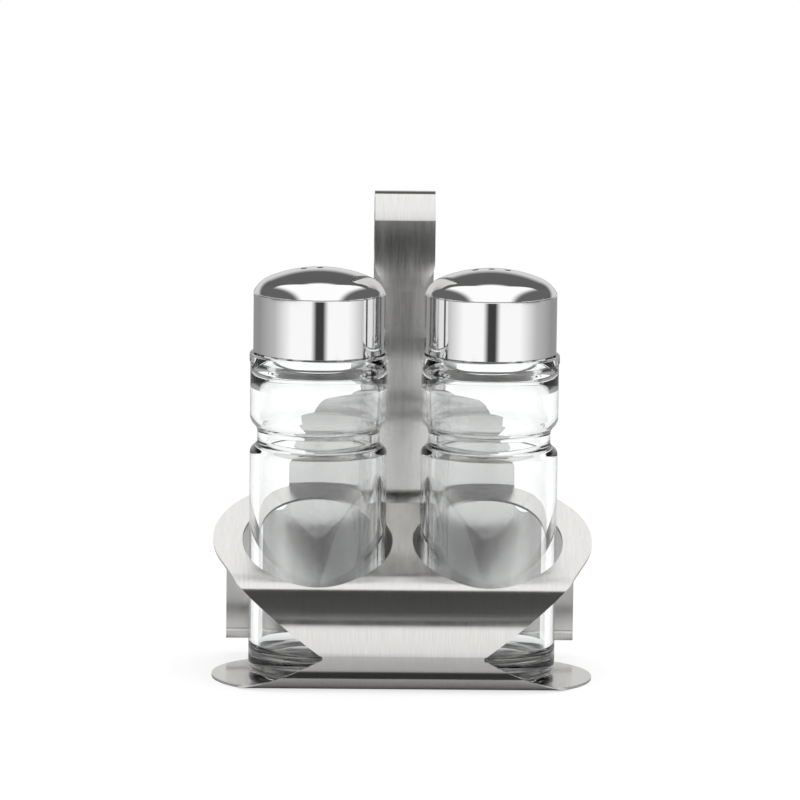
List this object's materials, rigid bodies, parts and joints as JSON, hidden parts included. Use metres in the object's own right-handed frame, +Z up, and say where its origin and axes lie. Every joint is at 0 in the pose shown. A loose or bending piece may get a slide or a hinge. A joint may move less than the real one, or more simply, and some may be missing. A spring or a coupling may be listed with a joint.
{
  "type": "salt and pepper shaker set",
  "caption": "Glass shakers with screw-on steel caps in a stand folded from brushed steel sheet, with a curled strap handle.",
  "frame": {"origin": "on the table, under the middle of the stand", "axes": "+X to the right along the two shakers, +Y to the back sheet, +Z up along the shakers"},
  "size_m": [0.1116, 0.0596, 0.1405],
  "materials": {
    "stand_steel": "fine vertical brushing",
    "jar_glass": "clear polished glass",
    "cap_steel": "mirror polished",
    "liner_plastic": "matte"
  },
  "bodies": {
    "stand": {"stand_base": "stand_steel", "stand_tray": "stand_steel", "stand_back": "stand_steel"},
    "left_shaker": {"left_jar": "jar_glass"},
    "left_cap": {"left_cap_shell": "cap_steel", "left_cap_liner": "liner_plastic"},
    "right_shaker": {"right_jar": "jar_glass"},
    "right_cap": {"right_cap_shell": "cap_steel", "right_cap_liner": "liner_plastic"}
  },
  "joints": [
    {"name": "left_lift", "type": "slide", "parent": "stand", "child": "left_shaker", "axis": [0, 0, 1], "range_m": [0, 0.06]},
    {"name": "left_unscrew", "type": "hinge", "parent": "left_shaker", "child": "left_cap", "pos_m": [-0.025, 0, 0.1], "axis": [0, 0, 1], "range_deg": [0, 540]},
    {"name": "right_lift", "type": "slide", "parent": "stand", "child": "right_shaker", "axis": [0, 0, 1], "range_m": [0, 0.06]},
    {"name": "right_unscrew", "type": "hinge", "parent": "right_shaker", "child": "right_cap", "pos_m": [0.025, 0, 0.1], "axis": [0, 0, 1], "range_deg": [0, 540]}
  ]
}
